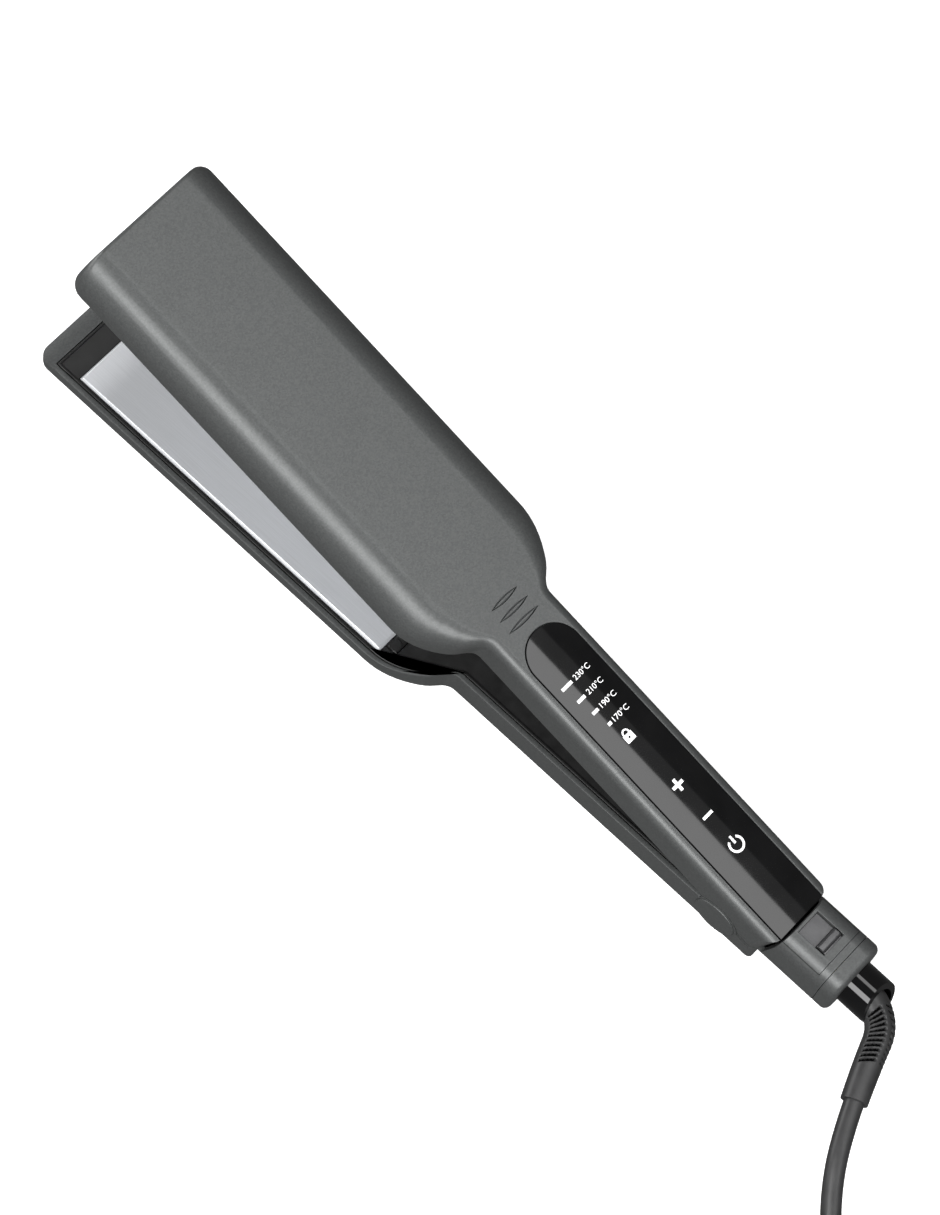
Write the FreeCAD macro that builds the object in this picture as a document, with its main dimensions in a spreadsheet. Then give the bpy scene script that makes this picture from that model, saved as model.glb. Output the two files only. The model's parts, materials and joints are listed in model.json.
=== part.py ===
"""A wide-plate hair straightener, opened to its stop: two arms on one hinge, a swivelling cord.

Every arm part is drawn in an arm frame: X runs from the hinge towards the tip, and Z runs outwards from
the plane where the closed arms meet. The lower arm's frame is turned over, and the upper arm's is swung
open about the hinge pin. The row's own frame has +X towards the tip, +Z up, and its origin on the
resting plane, in the middle of the length. All sizes are in millimetres.
"""
import FreeCAD, Part
import Sketcher
import math
import os
import re

Vector = FreeCAD.Vector
Rotation = FreeCAD.Rotation
Placement = FreeCAD.Placement
X_AXIS, Y_AXIS, Z_AXIS = Vector(1, 0, 0), Vector(0, 1, 0), Vector(0, 0, 1)

CELLS = {
    # whole arms
    "tip_x": 253.3, "rear_x": -13.6, "low_rear_x": -13.0, "half_height": 13.4, "wall": 1.8,
    "part_gap": 0.3, "head_half": 26.0, "head_edge": 10.6, "handle_half": 12.35, "handle_edge": 3.4,
    "neck_front": 124.0, "neck_rear": 99.6, "corner_high": 4.5, "corner_low": 2.5,
    # the arms' tips: the plan corners, the fine edge along the top, and the swell under the end
    "tip_round": 4.5, "tip_edge": 1.2, "tip_wall": 6.0, "swell_x": 245.0, "swell_radius": 20.0,
    # hinge and opening
    "pivot_x": 1.5, "pivot_z": -4.0, "open_deg": 13.8, "pin_radius": 2.0, "fit_gap": 0.05,
    "ear_radius": 7.9, "ear_gap": 0.45, "ear_thick": 1.85, "cap_radius": 7.0, "cap_proud": 0.45,
    "cap_depth": 0.8, "cap_round": 0.4, "knuckle_radius": 4.2, "knuckle_inner": 6.0,
    "knuckle_outer": 9.9, "web_half": 3.4,
    # tail and slide lock
    "seam_x": -33.8, "tail_end": -39.0, "tail_half": 10.45, "tail_high": 10.7, "tail_edge": 6.5,
    "tail_round": 2.2, "seat_front": 7.0, "seat_long": 22.2, "seat_deg": 13.0,
    "seat_wide": 60.0, "seat_high": 40.0, "cover_front": -10.0, "cover_deep": 7.0,
    "cover_rear": -31.4, "cover_half": 8.7, "seam_gap": 0.12, "window_rear": -28.9,
    "window_front": -19.2, "window_half": 4.3, "track_high": 8.6, "track_thick": 0.65, "floor_high": 9.3,
    "thumb_rear": -28.4, "thumb_front": -25.4, "thumb_half": 3.8, "thumb_high": 11.2,
    "thumb_round": 1.1, "track_slot_half": 1.2,
    "slide_high": 10.0, "tongue_front": -16.5, "tongue_rear": -31.0, "tongue_half": 2.5,
    "tongue_low": 0.5, "tongue_high": 3.0, "slot_half": 3.2, "slot_high": 9.0,
    # hot plates and what is behind them
    "plate_rear": 121.7, "plate_front": 239.2, "plate_half": 22.5, "plate_face": 0.2,
    "plate_back": 3.0, "plate_gap": 0.3, "plate_bevel": 0.7, "bar_rear": 117.7, "bar_half": 19.6,
    "holder_half": 21.5, "holder_back": 7.0, "heater_rear": 140.0, "heater_front": 221.0,
    "heater_half": 8.0, "heater_back": 5.2, "mica_half": 10.0, "mica_thick": 0.3,
    "knob_x": 1.9, "knob_y": 1.8, "knob_radius": 1.85, "knob_proud": 0.15, "bar_round": 1.0,
    "bead_x": 126.0, "bead_y": 12.0, "bead_z": 4.1, "bead_radius": 0.9, "bead_long": 6.0,
    "fuse_x": 125.0, "fuse_y": -12.0, "fuse_z": 4.7, "fuse_radius": 1.5, "fuse_long": 10.0,
    # inner liners
    "liner_rear": 10.0, "liner_face": 0.5, "liner_floor": 1.1, "liner_back": 3.1, "lip_width": 0.9,
    "liner_gap": 0.15,
    # touch panel and board
    "panel_half": 8.95, "panel_front": 96.0, "panel_thick": 1.2, "panel_gap": 0.2,
    "board_rear": 9.0, "board_front": 98.0, "board_half": 9.6, "board_low": 7.8, "board_high": 9.4,
    "guide_rear": 60.0, "guide_front": 80.0, "guide_low": 1.3, "guide_high": 6.7, "guide_gap": 0.1,
    "board_gap": 0.02, "capacitor_x": 60.0, "capacitor_z": 5.6, "capacitor_radius": 2.0,
    "capacitor_long": 14.0, "pad_radius": 2.2,
    # leads from the cord to the heaters
    "lead_radius": 0.9, "lead_front": 104.0, "high_lead_rear": 12.0, "high_lead_y": 6.6,
    "high_lead_z": 5.6, "low_lead_rear": -28.0, "low_lead_y": 4.0, "low_lead_z": 7.4,
    # vents in the neck
    "vent_half": 0.8, "vent_rib": 0.3, "vent_deep": 1.3,
    # screws
    "screw_radius": 1.4, "head_radius": 2.6, "boss_radius": 3.0, "head_low": 0.8, "head_thick": 1.1,
    "shank_long": 7.0, "drive_radius": 1.0, "drive_deep": 0.5,
    # swivel and cord
    "sleeve_radius": 6.9, "sleeve_end": -51.8, "sleeve_round": 4.2, "flange_radius": 8.3,
    "flange_thick": 1.5, "drum_radius": 5.2, "drum_long": 3.6, "retainer_bore": 6.0,
    "retainer_thick": 0.9, "relief_radius": 4.6, "relief_tip": 4.0, "relief_start": -42.0,
    "sleeve_lip": -51.2, "mouth_x": -49.0, "mouth_up": 0.45, "mouth_deep": 20.0, "mouth_half": 15.0,
    "cord_radius": 3.0,
    "coil_in": 20.9, "coil_out": 45.4, "coil_high": 18.2, "coil_x": -157.6, "coil_y": 49.7,
    "plug_x": -127.0, "plug_y": -2.2, "plug_deg": -15.0, "plug_neck": 13.0, "neck_small": 4.2,
    "neck_large": 6.0, "plug_long": 24.0, "plug_half": 12.0, "plug_high": 8.9, "plug_edge": 4.0,
    "blade_long": 16.0, "blade_thick": 1.5, "blade_wide": 6.3, "blade_pitch": 12.7,
    # opening spring
    "spring_x": 15.0, "spring_radius": 2.5, "wire_radius": 0.4, "spring_low": -11.5,
    "spring_high": 3.6, "spring_pitch": 2.4, "spring_hole": 3.6,
}

doc = FreeCAD.newDocument("flat_iron")
sheet = doc.addObject("Spreadsheet::Sheet", "dims")
for row, (alias, number) in enumerate(CELLS.items(), start=1):
    sheet.set(f"A{row}", alias)
    sheet.set(f"B{row}", str(number))
    sheet.setAlias(f"B{row}", alias)
doc.recompute()


# ---------------------------------------------------------------- helpers

def formula(text):
    """An expression on the sheet: each alias in the text gets the sheet's name before it."""
    return re.sub(r"[a-z]\w+", lambda found: "dims." + found.group() if found.group() in CELLS
                  else found.group(), str(text))


def size(text):
    """The number that an expression on the sheet has now."""
    found = sheet.evalExpression(formula(text))
    return float(found)


def bind(thing, prop, text):
    thing.setExpression(prop, formula(text))


def block(name, x0, x1, y0, y1, z0, z1):
    """A box between the given planes."""
    made = doc.addObject("Part::Box", name)
    for prop, low, high in (("Length", x0, x1), ("Width", y0, y1), ("Height", z0, z1)):
        bind(made, prop, f"({high}) - ({low})")
    for letter, low in (("x", x0), ("y", y0), ("z", z0)):
        bind(made, f"Placement.Base.{letter}", low)
    return made


def rod(name, along, start, radius, length):
    """A cylinder from its start point along X, Y or Z."""
    made = doc.addObject("Part::Cylinder", name)
    turned = {"x": Rotation(Y_AXIS, 90), "y": Rotation(X_AXIS, -90), "z": Rotation()}[along]
    made.Placement = Placement(Vector(), turned)
    bind(made, "Radius", radius)
    bind(made, "Height", length)
    for letter, place in zip("xyz", start):
        bind(made, f"Placement.Base.{letter}", place)
    return made


def fuse(name, *things):
    made = doc.addObject("Part::MultiFuse", name)
    made.Shapes = list(things)
    return made


def single(name, thing):
    """One primitive as a finished piece, which can then be placed with its arm."""
    made = doc.addObject("Part::Compound", name)
    made.Links = [thing]
    return made


def cut(name, base, *tools):
    made = doc.addObject("Part::Cut", name)
    made.Base = base
    made.Tool = tools[0] if len(tools) == 1 else fuse(name + "_tools", *tools)
    return made


def common(name, first, second):
    made = doc.addObject("Part::MultiCommon", name)
    made.Shapes = [first, second]
    return made


def straight_edges(shape, direction, wanted=lambda middle: True):
    """Numbers of the shape's straight edges that run along a direction."""
    found = []
    for number, edge in enumerate(shape.Edges, start=1):
        ends = edge.Vertexes
        if len(ends) != 2 or not isinstance(edge.Curve, (Part.Line, Part.LineSegment)):
            continue
        run = ends[1].Point - ends[0].Point
        middle = (ends[1].Point + ends[0].Point) / 2
        if run.Length > 1e-6 and run.cross(direction).Length < 1e-6 * run.Length and wanted(middle):
            found.append(number)
    return found


def rounded(name, base, radius, direction, wanted=lambda middle: True):
    """A Part fillet on the straight edges along a direction."""
    doc.recompute()
    made = doc.addObject("Part::Fillet", name)
    made.Base = base
    numbers = straight_edges(base.Shape, direction, wanted)
    made.Edges = [(number, size(radius), size(radius)) for number in numbers]
    return made


def rounded_tip(name, base):
    """A Part fillet round the tip: wide at the plan corners, narrowing to a fine edge along the top."""
    doc.recompute()
    made = doc.addObject("Part::Fillet", name)
    made.Base = base
    side_top, top = size("half_height - head_edge"), size("half_height")

    def radius_at(height):
        share = max(0.0, min(1.0, (height - side_top) / (top - side_top)))
        return size("tip_round") + share * (size("tip_edge") - size("tip_round"))

    edges = []
    for number, edge in enumerate(base.Shape.Edges, start=1):
        box = edge.BoundBox
        at_end = abs(box.XMin - size("tip_x")) < 1e-3 and abs(box.XMax - size("tip_x")) < 1e-3
        if at_end and box.ZMax > size("part_gap") + 0.01:
            first, last = edge.valueAt(edge.FirstParameter), edge.valueAt(edge.LastParameter)
            edges.append((number, radius_at(first.z), radius_at(last.z)))
    made.Edges = edges
    return made


def origin_plane(body, role):
    return [thing for thing in body.Origin.OriginFeatures if thing.Role == role][0]


def sketch_on(body, name, role, offset):
    sketch = body.newObject("Sketcher::SketchObject", name)
    sketch.AttachmentSupport = [(origin_plane(body, role), "")]
    sketch.MapMode = "FlatFace"
    bind(sketch, "AttachmentOffset.Base.z", offset)
    return sketch


def add_rule(sketch, *rule, text=None, name=None):
    number = sketch.addConstraint(Sketcher.Constraint(*rule))
    if text is not None:
        sketch.renameConstraint(number, name)
        bind(sketch, f"Constraints.{name}", text)


def section(body, name, x, half, low, high, edge):
    """A cross-section of an arm: flat below, with two rounded corners above."""
    sketch = sketch_on(body, name, "YZ_Plane", x)
    w, z0, z1, r = size(half), size(low), size(high), size(edge)

    def line(a, b):
        sketch.addGeometry(Part.LineSegment(Vector(*a), Vector(*b)))

    def arc(centre_y, first, last):
        circle = Part.Circle(Vector(centre_y, z1 - r, 0), Z_AXIS, r)
        sketch.addGeometry(Part.ArcOfCircle(circle, first, last))

    line((-w, z0), (w, z0))
    line((w, z0), (w, z1 - r))
    arc(w - r, 0, math.pi / 2)
    line((w - r, z1), (r - w, z1))
    arc(r - w, math.pi / 2, math.pi)
    line((-w, z1 - r), (-w, z0))
    add_rule(sketch, "Coincident", 0, 2, 1, 1)
    add_rule(sketch, "Coincident", 5, 2, 0, 1)
    for first in (1, 2, 3, 4):
        add_rule(sketch, "Tangent", first, 2, first + 1, 1)
    add_rule(sketch, "Symmetric", 0, 1, 0, 2, -2)
    add_rule(sketch, "Vertical", 1)
    add_rule(sketch, "Vertical", 5)
    add_rule(sketch, "Horizontal", 3)
    add_rule(sketch, "Equal", 2, 4)
    add_rule(sketch, "DistanceX", 0, 1, 0, 2, 2 * w, text=f"2 * ({half})", name="width")
    add_rule(sketch, "DistanceY", -1, 1, 0, 1, z0, text=low, name="low")
    add_rule(sketch, "DistanceY", -1, 1, 3, 1, z1, text=high, name="high")
    add_rule(sketch, "Radius", 2, r, text=edge, name="edge")
    return sketch


# Across the neck the half width and the edge radius swing from the handle's to the head's: a short
# hollow beside the handle, then a long full shoulder.
NECK_STEPS = 12
FULLNESS = 0.62
HOLLOW = 0.3


def neck_share(along):
    start = min(1.0, along / HOLLOW)
    hollow = start * start * (3 - 2 * start)
    return round(hollow * (1 - math.cos(math.pi * along ** FULLNESS)) / 2, 4)


def arm_form(name, rear, inset, low, high, edge=None, tip_inset=None):
    """The arm's plan shape, pulled in by inset, from low to high: handle, flared neck and head."""
    body = doc.addObject("PartDesign::Body", name)
    sketches = []
    for step in range(NECK_STEPS + 1):
        along = round(step / NECK_STEPS, 4)
        share = neck_share(along)
        x = f"neck_rear + {along} * (neck_front - neck_rear) - ({inset}) * 0.4"
        half = f"handle_half + {share} * (head_half - handle_half) - ({inset})"
        follow = f"handle_edge + {share} * (head_edge - handle_edge) - ({inset}) * 0.95"
        sketches.append(section(body, f"{name}_s{step}", x, half, low, high, edge or follow))
    doc.recompute()
    neck = body.newObject("PartDesign::AdditiveLoft", name + "_neck")
    neck.Profile = sketches[0]
    neck.Sections = sketches[1:]
    handle = body.newObject("PartDesign::Pad", name + "_handle")
    handle.Profile = sketches[0]
    handle.Reversed = True
    bind(handle, "Length", f"neck_rear - ({inset}) * 0.4 - ({rear})")
    head = body.newObject("PartDesign::Pad", name + "_head")
    head.Profile = sketches[-1]
    bind(head, "Length", f"tip_x - ({tip_inset or inset}) - (neck_front - ({inset}) * 0.4)")
    return body


# ---------------------------------------------------------------- frames of the arms

hinge_x = -(size("tip_x") + size("sleeve_lip")) / 2
HINGE = Placement(Vector(hinge_x, 0, size("half_height")), Rotation())
PIVOT = Vector(size("pivot_x"), 0, size("pivot_z"))
TURNED = Placement(Vector(), Rotation(X_AXIS, 180))
OPENED = Placement(Vector(), Rotation(Y_AXIS, -size("open_deg")), PIVOT)
LOW_ARM = HINGE.multiply(TURNED)
HIGH_ARM = HINGE.multiply(OPENED)
kept = []


def keep(thing, label, place):
    """Names a finished sub-part and sets it in the row's frame."""
    thing.Label = label
    thing.Placement = place
    kept.append(thing)


def both(make):
    """Runs a piece's function for the left side, +1, and the right side, -1."""
    return [make(side) for side in (1, -1)]


def side_block(name, side, x0, x1, y0, y1, z0, z1):
    """A block between y0 and y1 on the left side, or mirrored on the right."""
    if side > 0:
        return block(name, x0, x1, y0, y1, z0, z1)
    return block(name, x0, x1, f"-({y1})", f"-({y0})", z0, z1)


def side_rod(name, side, x, y0, y1, z, radius):
    """A cylinder along Y between y0 and y1 on the left side, or mirrored on the right."""
    start = y0 if side > 0 else f"-({y1})"
    return rod(name, "y", (x, start, z), radius, f"({y1}) - ({y0})")


# ---------------------------------------------------------------- casings

def corner_cutters(name, x, radius):
    """Takes the two sharp plan corners off an arm's rear end."""
    def one(side):
        tag = f"{name}_{'l' if side > 0 else 'r'}"
        square = side_block(tag + "_square", side, f"{x} - 1", f"{x} + {radius}",
                            f"handle_half - {radius}", "handle_half + 1", "-1", "half_height + 1")
        centre = f"{'' if side > 0 else '-'}(handle_half - {radius})"
        disc = rod(tag + "_disc", "z", (f"{x} + {radius}", centre, "-2"), radius, "half_height + 4")
        return cut(tag, square, disc)
    return both(one)


def shell(name, rear, corner):
    outer = arm_form(name + "_outer", rear, "0", "part_gap", "half_height")
    inner = arm_form(name + "_inner", f"{rear} + wall", "wall", "part_gap - 1", "half_height - wall",
                     tip_inset="tip_wall")
    under = cut(name + "_swell",
                block(name + "_swell_block", "swell_x", "tip_x + 1", "-head_half - 1", "head_half + 1",
                      "-1", "half_height / 2"),
                rod(name + "_swell_rod", "y", ("swell_x", "-head_half - 2", "part_gap + swell_radius"),
                    "swell_radius", "2 * head_half + 4"))
    return cut(name + "_shell", rounded_tip(name + "_tip", outer), inner, under,
               *corner_cutters(name + "_corner", rear, corner))


def lens(name, x, half_long, half_wide, low, high):
    """A lens-shaped prism across the arm, pointed at both ends."""
    reach = f"(({half_long}) ^ 2 + ({half_wide}) ^ 2) / (2 * ({half_wide}))"
    tall = f"{high} - ({low})"
    first = rod(name + "_a", "z", (f"{x} - {reach} + {half_wide}", "0", low), reach, tall)
    second = rod(name + "_b", "z", (f"{x} + {reach} - {half_wide}", "0", low), reach, tall)
    return common(name, first, second)


SCREWS = (("110", "4"), ("243.4", "12"))      # where the casing screws stand


def bosses(name):
    return [rod(f"{name}_boss{n}", "z", (x, y, "liner_back + 0.1"), "boss_radius",
                "half_height - wall - liner_back + 0.1") for n, (x, y) in enumerate(SCREWS)]


def boss_bores(name):
    return [rod(f"{name}_bore{n}", "z", (x, y, "0"), "screw_radius + fit_gap", "half_height - wall - 1")
            for n, (x, y) in enumerate(SCREWS)]


VENTS = ((100.3, 5.9), (104.3, 5.6), (108.2, 5.1))      # each vent's place and half length


def upper_casing():
    base = shell("high", "rear_x", "corner_high")
    knuckles = both(lambda side: side_rod(f"knuckle{side}", side, "pivot_x", "knuckle_inner",
                                          "knuckle_outer", "pivot_z", "knuckle_radius"))
    webs = both(lambda side: side_block(f"web{side}", side, "pivot_x - web_half", "pivot_x + web_half",
                                        "knuckle_inner", "knuckle_outer", "pivot_z",
                                        "half_height - wall + 0.2"))
    solid = fuse("high_solid", base, *knuckles, *webs, *bosses("high"))
    recess = block("panel_recess", "rear_x - 1", "panel_front - panel_half", "-panel_half - panel_gap",
                   "panel_half + panel_gap", "half_height - panel_thick", "half_height + 1")
    recess_end = rod("panel_recess_end", "z", ("panel_front - panel_half", "0",
                     "half_height - panel_thick"), "panel_half + panel_gap", "panel_thick + 1")
    window = block("guide_window", "guide_rear - guide_gap", "guide_front + guide_gap",
                   "guide_low - guide_gap", "guide_high + guide_gap", "half_height - wall - 0.5",
                   "half_height")
    slot = block("lock_slot", "rear_x - 1", "rear_x + wall + 0.5", "-slot_half", "slot_half", "-1",
                 "slot_high")
    notches = both(lambda side: side_rod(f"notch{side}", side, "pivot_x", "handle_half - ear_thick - 0.3",
                                         "handle_half + 2", "pivot_z", "ear_radius + ear_gap"))
    pin_bore = rod("knuckle_bore", "y", ("pivot_x", "-head_half", "pivot_z"), "pin_radius + fit_gap",
                   "2 * head_half")
    grooves = [lens(f"vent{n}", x, half, "vent_half", "half_height - vent_deep", "half_height + 1")
               for n, (x, half) in enumerate(VENTS)]
    carved = cut("high_carved", solid, recess, recess_end, window, slot, *notches, pin_bore, *grooves,
                 *boss_bores("high"))
    ribs = [lens(f"vent_rib{n}", x, half - 0.5, "vent_rib", "half_height - vent_deep - 0.05",
                 "half_height - 0.1")
            for n, (x, half) in enumerate(VENTS)]
    keep(fuse("upper_casing", carved, *ribs), "upper_casing", HIGH_ARM)


def tail_bar(name, x0, x1, inset):
    """The tail's rounded section between two planes, pulled in by inset."""
    bar = block(name + "_bar", x0, x1, f"-tail_half + {inset}", f"tail_half - {inset}",
                f"-tail_high + {inset}", f"tail_high - {inset}")
    return rounded(name, bar, f"tail_edge - {inset}", X_AXIS)


def arm_seat(name):
    """The space that the upper arm's rear end swings in: a tilted box behind the hinge."""
    made = doc.addObject("Part::Box", name)
    for prop, text in (("Length", "seat_long"), ("Width", "seat_wide"), ("Height", "seat_high")):
        bind(made, prop, text)
    tilt = Rotation(Y_AXIS, -size("seat_deg"))
    corner = Vector(size("seat_front"), -size("seat_wide") / 2, -size("part_gap"))
    made.Placement = Placement(corner + tilt.multVec(Vector(-size("seat_long"), 0, 0)), tilt)
    return made


def cover_space(name, grow):
    return block(name, f"cover_rear - {grow}", "cover_front", f"-cover_half - {grow}",
                 f"cover_half + {grow}", f"tail_high - cover_deep - {grow}", "tail_high + 2")


def lower_casing():
    base = shell("low", "low_rear_x", "corner_low")
    base_bosses = fuse("low_with_bosses", base, *bosses("low"))
    lower = cut("low_bored", base_bosses, *boss_bores("low"))
    lower.Placement = TURNED
    tail = tail_bar("tail_outer", "seam_x", "low_rear_x + 1", "0")
    hollow = tail_bar("tail_hollow", "seam_x - 1", "low_rear_x + 3", "wall")
    body = cut("low_body", fuse("low_joined", lower, tail), hollow, arm_seat("low_seat"),
               cover_space("cover_opening", "seam_gap"))
    ears = both(lambda side: side_rod(f"ear{side}", side, "pivot_x", "handle_half - ear_thick",
                                      "handle_half", "pivot_z", "ear_radius"))
    recesses = both(lambda side: side_rod(f"cap_recess{side}", side, "pivot_x", "handle_half - cap_depth",
                                          "handle_half + 1", "pivot_z", "cap_radius + fit_gap"))
    bore = rod("ear_bore", "y", ("pivot_x", "-head_half", "pivot_z"), "pin_radius + fit_gap / 2",
               "2 * head_half")
    keep(cut("lower_casing", fuse("low_eared", body, *ears), bore, *recesses), "lower_casing", HINGE)


def tail_cover():
    skin = cut("cover_skin", tail_bar("cover_outer", "seam_x", "low_rear_x + 1", "0"),
               tail_bar("cover_hollow", "seam_x - 1", "low_rear_x + 3", "wall"))
    piece = common("cover_piece", skin, cover_space("cover_block", "0"))
    window = block("cover_window", "window_rear", "window_front", "-window_half", "window_half",
                   "tail_high - 4", "tail_high + 2")
    relief = block("slide_relief", "cover_rear - 1", "window_rear + 0.1", "-window_half + 0.2",
                   "window_half - 0.2", "tail_high - 4", "slide_high + 0.3")
    keep(cut("tail_cover", piece, arm_seat("cover_seat"), window, relief), "tail_cover", HINGE)


# ---------------------------------------------------------------- hinge

def hinge():
    pin = rod("pin_rod", "y", ("pivot_x", "-handle_half + cap_depth + 0.05", "pivot_z"),
              "pin_radius", "2 * (handle_half - cap_depth - 0.05)")
    keep(single("hinge_pin_one", pin), "hinge_pin", HINGE)
    for side, word in ((1, "left"), (-1, "right")):
        disc = side_rod(f"cap_disc_{word}", side, "pivot_x", "handle_half - cap_depth + 0.02",
                        "handle_half + cap_proud", "pivot_z", "cap_radius")
        doc.recompute()
        cap = doc.addObject("Part::Fillet", f"cap_{word}")
        cap.Base = disc
        outer_y = side * size("handle_half + cap_proud")
        rims = [number for number, edge in enumerate(disc.Shape.Edges, start=1)
                if abs(edge.BoundBox.YMin - outer_y) < 1e-3 and abs(edge.BoundBox.YMax - outer_y) < 1e-3]
        cap.Edges = [(number, size("cap_round"), size("cap_round")) for number in rims]
        keep(cap, f"hinge_cap_{word}", HINGE)


def opening_spring():
    """A compression coil that stands on the lower casing's floor and lifts the upper arm."""
    helix = doc.addObject("Part::Helix", "spring_helix")
    bind(helix, "Radius", "spring_radius")
    bind(helix, "Pitch", "spring_pitch")
    bind(helix, "Height", "spring_high - spring_low - 2 * wire_radius")
    ring = doc.addObject("Part::Circle", "spring_wire")
    bind(ring, "Radius", "wire_radius")
    ring.Placement = Placement(Vector(size("spring_radius"), 0, 0), Rotation(X_AXIS, 90))
    coil = doc.addObject("Part::Sweep", "spring_coil")
    coil.Sections = [ring]
    coil.Spine = (helix, [])
    coil.Solid = True
    coil.Frenet = True
    foot = Placement(Vector(size("spring_x"), 0, size("spring_low + wire_radius")), Rotation())
    keep(coil, "opening_spring", HINGE.multiply(foot))


# ---------------------------------------------------------------- the same pieces in both arms

def liner(arm, place, spring):
    block_form = arm_form(arm + "_liner_form", "liner_rear", "wall + liner_gap", "liner_face",
                          "liner_back", edge="0.3", tip_inset="tip_wall + liner_gap")
    floor_form = arm_form(arm + "_liner_floor", "liner_rear - 1", "wall + liner_gap + lip_width",
                          "0", "liner_floor", edge="0.2", tip_inset="tip_wall + liner_gap + lip_width")
    window = block(arm + "_plate_window", "plate_rear - plate_gap", "plate_front + plate_gap",
                   "-plate_half - plate_gap", "plate_half + plate_gap", "-1", "liner_back + 1")
    bar_window = block(arm + "_bar_window", "bar_rear - plate_gap", "plate_rear", "-bar_half - plate_gap",
                       "bar_half + plate_gap", "-1", "liner_back + 1")
    tools = [floor_form, window, bar_window]
    for n, (x, y) in enumerate(SCREWS):
        tools.append(rod(f"{arm}_head_seat{n}", "z", (x, y, "0"), "head_radius + 0.2",
                         "head_low + head_thick"))
        tools.append(rod(f"{arm}_screw_hole{n}", "z", (x, y, "0"), "screw_radius + 0.1",
                         "liner_back + 1"))
    if spring:
        tools.append(rod("spring_clearance", "z", ("spring_x", "0", "-1"), "spring_hole",
                         "liner_back + 2"))
    keep(cut(arm + "_liner_cut", block_form, *tools), arm + "_liner", place)


def plate(arm, place):
    slab = block(arm + "_plate_slab", "plate_rear", "plate_front", "-plate_half", "plate_half",
                 "plate_face", "plate_back")
    doc.recompute()
    bevelled = doc.addObject("Part::Chamfer", arm + "_plate_bevel")
    bevelled.Base = slab
    face = size("plate_face")
    rims = [number for number, edge in enumerate(slab.Shape.Edges, start=1)
            if abs(edge.BoundBox.ZMax - face) < 1e-3]
    bevelled.Edges = [(number, size("plate_bevel"), size("plate_bevel")) for number in rims]
    keep(bevelled, arm + "_plate", place)


def end_bar(arm, place):
    """The bar across the plate's rear end, with a round knob at each end."""
    bar = block(arm + "_bar_block", "bar_rear", "plate_rear - 0.2", "-bar_half", "bar_half",
                "liner_face", "plate_back")
    face = size("liner_face")
    soft = rounded(arm + "_bar_soft", bar, "bar_round", Y_AXIS,
                   wanted=lambda middle: middle.z < face + 0.01)
    knobs = [rod(f"{arm}_knob{side}", "z", ("bar_rear + knob_x", f"{side} * (bar_half - knob_y)",
                 "liner_face - knob_proud"), "knob_radius", "plate_back - liner_face")
             for side in (1, -1)]
    keep(fuse(arm + "_bar_fused", soft, *knobs), arm + "_end_bar", place)


def plate_holder(arm, place, with_fuse):
    """The heat-proof tray that clips the plate down over its heater."""
    tray = block(arm + "_tray", "bar_rear + 1.5", "plate_front + 1", "-holder_half", "holder_half",
                 "plate_back + 0.1", "holder_back")
    pocket = block(arm + "_heater_pocket", "heater_rear - 3", "heater_front + 3", "-mica_half - 1",
                   "mica_half + 1", "0", "heater_back + mica_thick + 0.1")
    sensor = block(arm + "_sensor_pocket", "bead_x - 2", "bead_x + bead_long + 2",
                   "bead_y - bead_radius - 0.6", "bead_y + bead_radius + 0.6", "0",
                   "bead_z + bead_radius + 0.4")
    tools = [pocket, sensor]
    if with_fuse:
        tools.append(block(arm + "_fuse_pocket", "fuse_x - 1", "fuse_x + fuse_long + 1",
                           "fuse_y - fuse_radius - 1", "fuse_y + fuse_radius + 1", "0",
                           "fuse_z + fuse_radius + 0.4"))
    keep(cut(arm + "_holder_cut", tray, *tools), arm + "_plate_holder", place)


def heater_stack(arm, place):
    strip = block(arm + "_heater_strip", "heater_rear", "heater_front", "-heater_half", "heater_half",
                  "plate_back + 0.1", "heater_back")
    keep(fuse(arm + "_heater_one", strip, block(arm + "_heater_tabs", "heater_rear - 2",
         "heater_rear + 1", "-3", "3", "plate_back + 0.6", "heater_back - 0.5")), arm + "_heater", place)
    mica = block(arm + "_mica_sheet", "heater_rear - 2", "heater_front + 2", "-mica_half", "mica_half",
                 "heater_back + 0.02", "heater_back + mica_thick")
    keep(single(arm + "_mica_one", mica), arm + "_mica", place)
    bead = rod(arm + "_bead", "x", ("bead_x", "bead_y", "bead_z"), "bead_radius", "bead_long")
    keep(single(arm + "_bead_one", bead), arm + "_thermistor", place)


def thermal_fuse():
    body = rod("fuse_rod", "x", ("fuse_x", "fuse_y", "fuse_z"), "fuse_radius", "fuse_long")
    keep(single("fuse_one", body), "thermal_fuse", LOW_ARM)


def screws(arm, place):
    made = []
    for n, (x, y) in enumerate(SCREWS):
        head = rod(f"{arm}_screw_head{n}", "z", (x, y, "head_low"), "head_radius", "head_thick")
        shank = rod(f"{arm}_screw_shank{n}", "z", (x, y, "head_low + head_thick"), "screw_radius",
                    "shank_long")
        socket = rod(f"{arm}_screw_drive{n}", "z", (x, y, "head_low - 1"), "drive_radius",
                     "drive_deep + 1")
        made.append(cut(f"{arm}_screw{n}", fuse(f"{arm}_screw_body{n}", head, shank), socket))
    keep(fuse(arm + "_screw_group", *made), arm + "_screws", place)


def leads(arm, place, sizes):
    pair = [rod(f"{arm}_lead{side}", "x", (f"{sizes}_rear", f"{side} * {sizes}_y", f"{sizes}_z"),
                "lead_radius", f"lead_front - {sizes}_rear") for side in (1, -1)]
    keep(fuse(arm + "_lead_pair", *pair), arm + "_leads", place)


# ---------------------------------------------------------------- control electronics

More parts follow.
